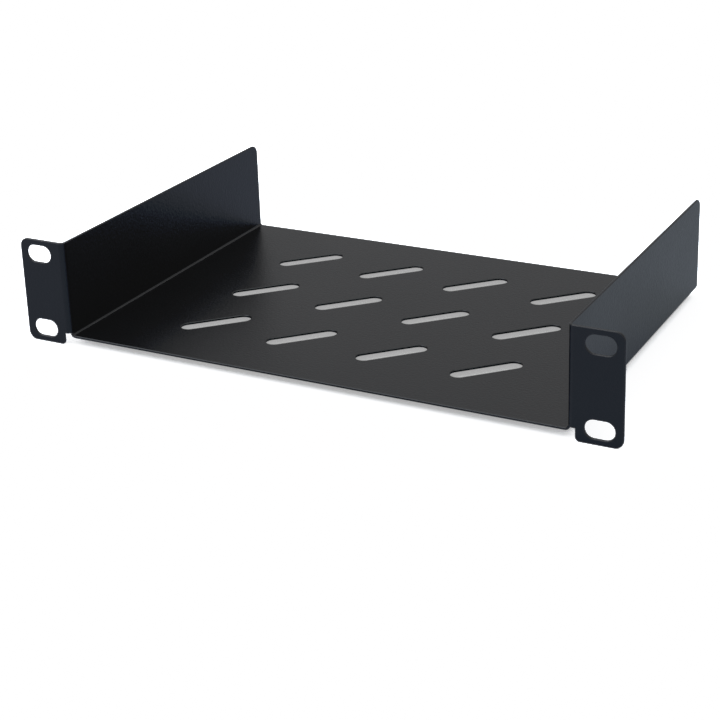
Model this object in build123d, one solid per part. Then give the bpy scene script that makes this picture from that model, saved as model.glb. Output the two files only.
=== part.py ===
from build123d import *
import os

# A one-unit shelf for a ten-inch rack, cut, punched and folded from one steel sheet.
# Millimetres. +X is to the right and +Y to the rear as seen from the front, +Z is up.
# The origin is the centre of the four ear slots, on the rear faces of the ears,
# which is the plane that seats on the rack's rails.

# The sheet with its powder coat, and the break that takes the sharpness off its cut edges
sheet = 1.0
edge_break = 0.25

# Outside sizes: the front as wide as a ten-inch rack and one unit high, and the ears that
# stand out past the tray on each side and hang down past its underside
panel_width = 254.0
panel_height = 43.5
shelf_depth = 150.0
ear_width = 20.0
ear_drop = 3.0

# Inside radii of the folds
wall_fold = 1.0
ear_fold = 1.5

# Corner radii of the cut blank
wall_corner = 4.0
ear_corner = 3.5
ear_root_corner = 1.8

# Relief notch beside each ear's fold, where the ear is cut free of the base before folding
relief_gap = 0.7

# Slots for the rack screws, long across the rack. Their centres lie this far in from the ends
# and the top and bottom of the front, which makes 236.525 by 31.75, the pitch of the rack's holes.
slot_inset_x = 8.7375
slot_inset_z = 5.875
slot_length = 11.4
slot_width = 7.2

# Oblique vent slots in the base, counted from the left and from the front
vent_length = 29.0
vent_width = 6.8
vent_angle = 45.0
vent_pitch_x = 40.0
vent_pitch_y = 40.0
vent_columns = 4
vent_rows = 3
vent_front_row = 36.4

# Places that follow from the sizes
front = -sheet
rear = front + shelf_depth
top = panel_height / 2
ear_foot = -panel_height / 2
underside = ear_foot + ear_drop
fold_top = underside + wall_fold + sheet
ear_tip = panel_width / 2
wall_face = ear_tip - ear_width
ear_start = wall_face + ear_fold
ear_root = ear_start + relief_gap
slot_x = ear_tip - slot_inset_x
slot_z = top - slot_inset_z


def folded_band(inside, outside, radius):
    """Section of a folded strip, between the line inside its folds and the line outside them."""
    inner = FilletPolyline(*inside, radius=radius)
    outer = FilletPolyline(*outside, radius=radius + sheet)
    ends = [Line(inner @ 0, outer @ 0), Line(inner @ 1, outer @ 1)]
    return make_face([*inner.edges(), *outer.edges(), *ends])


def channel():
    """The base and both side walls: one folded section, level with the ears' seats at its front."""
    wall_inside = wall_face - sheet
    floor = underside + sheet
    inside = [(-wall_inside, top), (-wall_inside, floor), (wall_inside, floor), (wall_inside, top)]
    outside = [(-wall_face, top), (-wall_face, underside), (wall_face, underside), (wall_face, top)]
    section = Plane.XZ * folded_band(inside, outside, wall_fold)
    return extrude(section, amount=-rear)


def bend_window(side):
    """The front end of a wall, above the base's fold, where the bend of its ear goes."""
    window = Box(4 * sheet, ear_fold, top - fold_top)
    return Pos(side * wall_face, ear_fold / 2, (fold_top + top) / 2) * window


def ear_bend():
    """A quarter ring that turns the right wall outwards into its ear."""
    radius = ear_fold + sheet
    ring = Circle(radius) - Circle(ear_fold)
    quarter = ring & Pos(-radius / 2, -radius / 2) * Rectangle(radius, radius)
    place = Plane.XY.offset(fold_top) * Pos(ear_start, ear_fold)
    return extrude(place * quarter, amount=top - fold_top)


def ear_plate():
    """The flat of the right ear. Its lower end is cut free of the base and hangs past it."""
    points = [
        (ear_start, fold_top),
        (ear_root, fold_top),
        (ear_root, ear_foot),
        (ear_tip, ear_foot),
        (ear_tip, top),
        (ear_start, top),
    ]
    outline = make_face(Polyline(*points, close=True))
    corners = outline.vertices().sort_by(Axis.X)
    outline = fillet(corners[-2:], ear_corner)
    foot = outline.vertices().sort_by_distance((ear_root, ear_foot))[0]
    outline = fillet(foot, ear_root_corner)
    slot = SlotOverall(slot_length, slot_width)
    outline = outline - [Pos(slot_x, end * slot_z) * slot for end in (-1, 1)]
    return extrude(Plane.XZ * outline, amount=sheet)


def vent_slots():
    """Punches for the rows of oblique vent slots, through the base."""
    punch = extrude(SlotOverall(vent_length, vent_width, rotation=vent_angle), amount=sheet, both=True)
    middle_row = front + vent_front_row + (vent_rows - 1) * vent_pitch_y / 2
    grid = GridLocations(vent_pitch_x, vent_pitch_y, vent_columns, vent_rows)
    return [Pos(0, middle_row, underside + sheet / 2) * place * punch for place in grid]


def round_wall_corners(blank):
    """Rounds the upper rear corners of both walls."""
    corners = blank.edges().filter_by(Axis.X).filter_by_position(Axis.Y, rear, rear)
    return fillet(corners.group_by(Axis.Z)[-1], wall_corner)


def crosses_sheet(edge):
    """True for a short edge that runs straight through the sheet, where two cuts meet."""
    return abs(edge.length - sheet) < 1e-4


def in_relief(edge):
    """True for an edge in the relief notch at the foot of an ear's fold, which stays sharp."""
    middle = edge.center()
    beside = wall_face - wall_fold - sheet < abs(middle.X) < ear_root + 0.1
    return beside and middle.Y < ear_fold + 0.1 and middle.Z < fold_top + 0.1


def base_front(folded):
    """The two long edges at the front of the base, which end at its folds."""
    across = folded.edges().filter_by(Axis.X).filter_by_position(Axis.Y, 0, 0)
    return [edge for edge in across if edge.length > wall_face]


def break_cut_edges(folded):
    """Breaks the edges on both sides of every cut: the outline, the ear slots and the vents."""
    cuts = [face for face in folded.faces() if any(crosses_sheet(edge) for edge in face.edges())]
    rims = [edge for face in cuts for edge in face.edges() if not crosses_sheet(edge)]
    rims = [edge for edge in rims if not in_relief(edge)]
    return chamfer(rims + base_front(folded), edge_break)


tray = round_wall_corners(channel()) - vent_slots()
tray = tray - [bend_window(side) for side in (-1, 1)]
ear = ear_bend() + ear_plate()
shelf = break_cut_edges(tray + ear + mirror(ear, about=Plane.YZ))

os.makedirs("parts", exist_ok=True)
export_step(shelf, "parts/shelf_tray.step")
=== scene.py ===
import math

import bmesh
import bpy
from mathutils import Euler, Matrix, Vector


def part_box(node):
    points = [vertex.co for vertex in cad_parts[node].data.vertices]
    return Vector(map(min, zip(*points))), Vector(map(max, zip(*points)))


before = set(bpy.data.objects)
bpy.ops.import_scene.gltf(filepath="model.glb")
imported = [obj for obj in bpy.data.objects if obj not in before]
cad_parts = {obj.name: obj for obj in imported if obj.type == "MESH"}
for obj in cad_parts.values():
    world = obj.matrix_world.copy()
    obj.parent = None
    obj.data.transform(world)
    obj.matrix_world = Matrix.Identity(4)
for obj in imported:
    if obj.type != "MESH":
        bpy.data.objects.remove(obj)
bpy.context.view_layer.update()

# Metres. +X is to the right and +Y to the rear as seen from the front, +Z is up.


# The shelf: one sheet of 1 mm steel, cut, punched and folded, with its two side walls and its
# two ears. It was degreased and powder coated black after folding, so one skin of paint runs
# over the faces, round the folds and through every slot.

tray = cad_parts["shelf_tray"]
merge_distance = 1e-6
soft_edge = math.radians(40)
flat_weight = 50


def shade_folds_smooth(limit):
    """Node group that joins the mesh's loose triangles and shades smooth all but its sharp edges."""
    group = bpy.data.node_groups.new("smooth_folds", "GeometryNodeTree")
    group.interface.new_socket("Sheet", in_out="INPUT", socket_type="NodeSocketGeometry")
    group.interface.new_socket("Sheet", in_out="OUTPUT", socket_type="NodeSocketGeometry")
    nodes, links = group.nodes, group.links
    entry = nodes.new("NodeGroupInput")
    leave = nodes.new("NodeGroupOutput")
    merge = nodes.new("GeometryNodeMergeByDistance")
    merge.inputs["Distance"].default_value = merge_distance
    faces = nodes.new("GeometryNodeSetShadeSmooth")
    faces.domain = "FACE"
    edges = nodes.new("GeometryNodeSetShadeSmooth")
    edges.domain = "EDGE"
    angle = nodes.new("GeometryNodeInputMeshEdgeAngle")
    gentle = nodes.new("FunctionNodeCompare")
    gentle.operation = "LESS_THAN"
    gentle.inputs["B"].default_value = limit
    links.new(entry.outputs["Sheet"], merge.inputs["Geometry"])
    links.new(merge.outputs["Geometry"], faces.inputs["Geometry"])
    links.new(faces.outputs["Geometry"], edges.inputs["Geometry"])
    links.new(angle.outputs["Unsigned Angle"], gentle.inputs["A"])
    links.new(gentle.outputs["Result"], edges.inputs["Shade Smooth"])
    links.new(edges.outputs["Geometry"], leave.inputs["Sheet"])
    return group


folds = tray.modifiers.new("smooth folds", "NODES")
folds.node_group = shade_folds_smooth(soft_edge)
flats = tray.modifiers.new("keep flats flat", "WEIGHTED_NORMAL")
flats.mode = "FACE_AREA"
flats.weight = flat_weight
flats.keep_sharp = True

# The powder coat: near black and semi-matt, with the fine grain of the baked powder and the slow
# ripple that it levels to. The edges at the front are painted paler, as a painted highlight.
coat_black = (0.0024, 0.0028, 0.0040, 1.0)
coat_pale = (0.0046, 0.0052, 0.0066, 1.0)
edge_highlight_colour = (0.0600, 0.0615, 0.0640, 1.0)
coat_shine = 0.62
matt_cloud = (0.32, 0.35)
matt_grain = (-0.02, 0.02)

# Its patterns: waves to the metre, layers of finer waves, and the strength of each finer layer
grain_waves = (900, 3, 0.6)
ripple_waves = (420, 1, 0.4)
cloud_waves = (22, 4, 0.55)
grain_height = 0.000090
ripple_height = 0.000009

# The readings of a pattern between which it takes effect, and the share of the paler coat it brings
even_band = (0.3, 0.7)
speck_band = (0.56, 0.74)
cloud_share = (0.0, 0.7)
speck_share = (0.0, 0.55)

# An edge shows where a face and its rounded form turn apart, by the cosine of that turn. The painted
# highlight is full up to the first of two distances behind the ears' rear faces, and ends at the
# second.
edge_reach = 0.00035
edge_samples = 6
edge_turn = (0.985, 0.86)
highlight_back = (0.002, 0.006)
highlight_share = (1.0, 0.0)


def ramp(material, value, band, ends=(0.0, 1.0)):
    """Smooth change from one end to the other while a value crosses a band."""
    nodes, links = material.node_tree.nodes, material.node_tree.links
    step = nodes.new("ShaderNodeMapRange")
    step.interpolation_type = "SMOOTHSTEP"
    step.inputs["From Min"].default_value = band[0]
    step.inputs["From Max"].default_value = band[1]
    step.inputs["To Min"].default_value = ends[0]
    step.inputs["To Max"].default_value = ends[1]
    links.new(value, step.inputs["Value"])
    return step.outputs["Result"]


def blend(material, share, first, second):
    """Mix of two colours, each of them plain or the output of another node."""
    nodes, links = material.node_tree.nodes, material.node_tree.links
    mix = nodes.new("ShaderNodeMix")
    mix.data_type = "RGBA"
    links.new(share, mix.inputs["Factor"])
    for socket, colour in ((mix.inputs["A"], first), (mix.inputs["B"], second)):
        if isinstance(colour, tuple):
            socket.default_value = colour
        else:
            links.new(colour, socket)
    return mix.outputs["Result"]


def powder_coat(name):
    """Black powder coat on Object coordinates, which are metres in the part's own frame."""
    material = bpy.data.materials.new(name)
    material.use_nodes = True
    nodes, links = material.node_tree.nodes, material.node_tree.links
    shader = nodes["Principled BSDF"]
    place = nodes.new("ShaderNodeTexCoord")

    def noise(waves):
        per_metre, layers, strength = waves
        pattern = nodes.new("ShaderNodeTexNoise")
        pattern.inputs["Scale"].default_value = per_metre
        pattern.inputs["Detail"].default_value = layers
        pattern.inputs["Roughness"].default_value = strength
        links.new(place.outputs["Object"], pattern.inputs["Vector"])
        return pattern.outputs["Fac"]

    def combine(operation, first, second):
        result = nodes.new("ShaderNodeMath")
        result.operation = operation
        links.new(first, result.inputs[0])
        links.new(second, result.inputs[1])
        return result.outputs["Value"]

    def bump(height, rise, below=None):
        raised = nodes.new("ShaderNodeBump")
        raised.inputs["Distance"].default_value = rise
        links.new(height, raised.inputs["Height"])
        if below is not None:
            links.new(below, raised.inputs["Normal"])
        return raised.outputs["Normal"]

    grain = noise(grain_waves)
    ripple = noise(ripple_waves)
    cloud = noise(cloud_waves)

    # Painted highlight: a paler colour on the edges that the bevel finds, faded out towards the rear
    rounded = nodes.new("ShaderNodeBevel")
    rounded.samples = edge_samples
    rounded.inputs["Radius"].default_value = edge_reach
    facing = nodes.new("ShaderNodeNewGeometry")
    agree = nodes.new("ShaderNodeVectorMath")
    agree.operation = "DOT_PRODUCT"
    links.new(rounded.outputs["Normal"], agree.inputs[0])
    links.new(facing.outputs["Normal"], agree.inputs[1])
    edge = ramp(material, agree.outputs["Value"], edge_turn)
    along = nodes.new("ShaderNodeSeparateXYZ")
    links.new(place.outputs["Object"], along.inputs["Vector"])
    at_front = ramp(material, along.outputs["Y"], highlight_back, highlight_share)
    front_highlight = combine("MULTIPLY", edge, at_front)

    clouded = blend(material, ramp(material, cloud, even_band, cloud_share), coat_black, coat_pale)
    speckled = blend(material, ramp(material, grain, speck_band, speck_share), clouded, coat_pale)
    links.new(blend(material, front_highlight, speckled, edge_highlight_colour), shader.inputs["Base Color"])
    slow_matt = ramp(material, cloud, even_band, matt_cloud)
    fine_matt = ramp(material, grain, even_band, matt_grain)
    links.new(combine("ADD", slow_matt, fine_matt), shader.inputs["Roughness"])
    links.new(bump(grain, grain_height, bump(ripple, ripple_height)), shader.inputs["Normal"])
    shader.inputs["Specular IOR Level"].default_value = coat_shine
    return material


tray.data.materials.clear()
tray.data.materials.append(powder_coat("black_powder_coat"))


# The table: one wide sheet of pale card, plain and matt, with the shelf set on it level, at the
# feet of its ears. The card glows, more weakly near the shelf as a painted shade round and under it,
# so that it goes to plain white away from the shelf and keeps a soft shadow close to it.

floor_half = 6.0
card_colour = (0.90, 0.90, 0.90, 1.0)
card_glow_shaded = (0.375, 0.375, 0.375, 1.0)
card_far = (0.80, 0.80, 0.80, 1.0)
card_reach = (0.15, 0.40)
card_matt = 0.9
card_shine = 0.1
glow_strength = 1.0

# What the coat reflects of the card is dimmer and cooler. It has little glow under the shelf, a
# painted shadow of the shelf, and a plainer colour to the right of it. Each reach is a distance at
# which a change starts and ends.
reflected_colour = (0.27, 0.30, 0.36, 1.0)
reflected_glow_shaded = (0.010, 0.011, 0.012, 1.0)
reflected_cool = (0.146, 0.164, 0.209, 1.0)
reflected_plain = (0.200, 0.223, 0.231, 1.0)
reflected_reach = (0.075, 0.135)
plain_side = (0.20, 0.22, 0.0)
plain_reach = (0.12, 0.22)

low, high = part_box("shelf_tray")
middle = (low + high) / 2
sheet = bmesh.new()
bmesh.ops.create_grid(sheet, x_segments=1, y_segments=1, size=floor_half)
bmesh.ops.translate(sheet, vec=(0, 0, low[2]), verts=sheet.verts)
mesh = bpy.data.meshes.new("table")
sheet.to_mesh(mesh)
sheet.free()
table = bpy.data.objects.new("table", mesh)
bpy.context.collection.objects.link(table)


def pale_card(name):
    """Matt, glowing card that the camera sees as white, with a painted shade of weaker glow near the
    shelf, and that the shelf is lit by as a dimmer card, with a painted shadow under the shelf.
    """
    material = bpy.data.materials.new(name)
    material.use_nodes = True
    nodes, links = material.node_tree.nodes, material.node_tree.links
    seen = nodes["Principled BSDF"]
    reflected = nodes.new("ShaderNodeBsdfPrincipled")
    for shader, colour in ((seen, card_colour), (reflected, reflected_colour)):
        shader.inputs["Base Color"].default_value = colour
        shader.inputs["Roughness"].default_value = card_matt
        shader.inputs["Specular IOR Level"].default_value = card_shine
        shader.inputs["Emission Strength"].default_value = glow_strength

    place = nodes.new("ShaderNodeTexCoord")

    def fade(centre, reach, near, far):
        away = nodes.new("ShaderNodeVectorMath")
        away.operation = "DISTANCE"
        away.inputs[1].default_value = centre
        links.new(place.outputs["Object"], away.inputs[0])
        return blend(material, ramp(material, away.outputs["Value"], reach), near, far)

    # Painted shade: the glow that the camera sees is weaker near the shelf
    white = fade(middle, card_reach, card_glow_shaded, card_far)
    links.new(white, seen.inputs["Emission Color"])
    tint = fade(plain_side, plain_reach, reflected_plain, reflected_cool)
    # Painted shadow: the reflected card's glow fades out under the shelf
    dim = fade(middle, reflected_reach, reflected_glow_shaded, tint)
    links.new(dim, reflected.inputs["Emission Color"])

    # The camera sees the white card, everything else the dim one, and from below it is see-through
    path = nodes.new("ShaderNodeLightPath")
    card = nodes.new("ShaderNodeMixShader")
    links.new(path.outputs["Is Camera Ray"], card.inputs["Fac"])
    links.new(reflected.outputs["BSDF"], card.inputs[1])
    links.new(seen.outputs["BSDF"], card.inputs[2])
    side = nodes.new("ShaderNodeNewGeometry")
    clear = nodes.new("ShaderNodeBsdfTransparent")
    either = nodes.new("ShaderNodeMixShader")
    links.new(side.outputs["Backfacing"], either.inputs["Fac"])
    links.new(card.outputs["Shader"], either.inputs[1])
    links.new(clear.outputs["BSDF"], either.inputs[2])
    links.new(either.outputs["Shader"], nodes["Material Output"].inputs["Surface"])
    return material


mesh.materials.append(pale_card("pale_card"))


# The light: a plain pale room, and three soft lamps: one overhead, one to the front left, which
# draws a light line on cut edges, and a small one behind, which draws the light line along the
# folds. The coat reflects the room as grey, and seen directly it is plain white.

room_colour = (0.98, 0.985, 1.0, 1.0)
room_strength = 0.390
room_seen = (1.0, 1.0, 1.0, 1.0)
lit_point = (0.0, 0.07, 0.0)

room = bpy.data.worlds.new("room")
bpy.context.scene.world = room
room.use_nodes = True
nodes, links = room.node_tree.nodes, room.node_tree.links
grey_room = nodes["Background"]
grey_room.inputs["Color"].default_value = room_colour
grey_room.inputs["Strength"].default_value = room_strength
white_room = nodes.new("ShaderNodeBackground")
white_room.inputs["Color"].default_value = room_seen
path = nodes.new("ShaderNodeLightPath")
shown_room = nodes.new("ShaderNodeMixShader")
links.new(path.outputs["Is Camera Ray"], shown_room.inputs["Fac"])
links.new(grey_room.outputs["Background"], shown_room.inputs[1])
links.new(white_room.outputs["Background"], shown_room.inputs[2])
links.new(shown_room.outputs["Shader"], nodes["World Output"].inputs["Surface"])


def soft_lamp(name, place, width, power, colour):
    """A square soft box, turned to the point that it lights. Its power is in watts."""
    data = bpy.data.lights.new(name, "AREA")
    data.shape = "SQUARE"
    data.size = width
    data.energy = power
    data.color = colour
    lamp = bpy.data.objects.new(name, data)
    lamp.location = place
    lamp.rotation_euler = (Vector(place) - Vector(lit_point)).to_track_quat("Z", "Y").to_euler()
    bpy.context.collection.objects.link(lamp)


soft_lamp("front", place=(-0.75, -0.55, 1.25), width=1.1, power=9.0, colour=(0.55, 0.58, 0.64))
soft_lamp("top", place=(0.25, 0.07, 1.6), width=1.4, power=9.0, colour=(0.62, 0.66, 0.70))
soft_lamp("rear", place=(0.0, 1.32, 1.0), width=0.45, power=0.34, colour=(1.0, 1.0, 1.0))


# The camera stands to the right of the front and looks down on the shelf. Its frame lies a little
# below the lens's axis, as in the photograph, which keeps uprights nearer to upright. The lens and
# its sensor are in millimetres, and the frame's shift is in widths of the picture.

camera_place = (0.29772, -0.50678, 0.24339)
look_down = math.radians(19.806)
look_left = math.radians(27.902)
roll = math.radians(-1.824)
focal_length = 85.30
sensor_width = 36.0
frame_shift = (-0.0097, -0.15)
nearest_seen = 0.01
farthest_seen = 50.0

lens = bpy.data.cameras.new("camera")
lens.sensor_width = sensor_width
lens.lens = focal_length
lens.shift_x, lens.shift_y = frame_shift
lens.clip_start = nearest_seen
lens.clip_end = farthest_seen
camera = bpy.data.objects.new("camera", lens)
camera.location = camera_place
look = Euler((math.pi / 2 - look_down, 0, look_left)).to_matrix()
camera.rotation_euler = (look @ Matrix.Rotation(roll, 3, "Z")).to_euler()
bpy.context.collection.objects.link(camera)
bpy.context.scene.camera = camera


# The picture's tones: the greys near black go down a little and the pale ones up to white, as in
# the photograph. Each pair is a tone and what it is shown as, and one curve serves all colours.

black_tones = ((0.005, 0.0045), (0.0096, 0.0060), (0.0145, 0.0104))
dark_tones = ((0.020, 0.0186), (0.032, 0.0310), (0.12, 0.12))
pale_tones = ((0.40, 0.42), (0.48, 0.66), (0.56, 0.84), (0.64, 0.955), (0.74, 1.0))
all_colours = 3

view = bpy.context.scene.view_settings
view.view_transform = "Standard"
view.look = "None"
view.use_curve_mapping = True
curve = view.curve_mapping.curves[all_colours]
for tone, shown in black_tones + dark_tones + pale_tones:
    curve.points.new(tone, shown)
view.curve_mapping.extend = "HORIZONTAL"
view.curve_mapping.update()
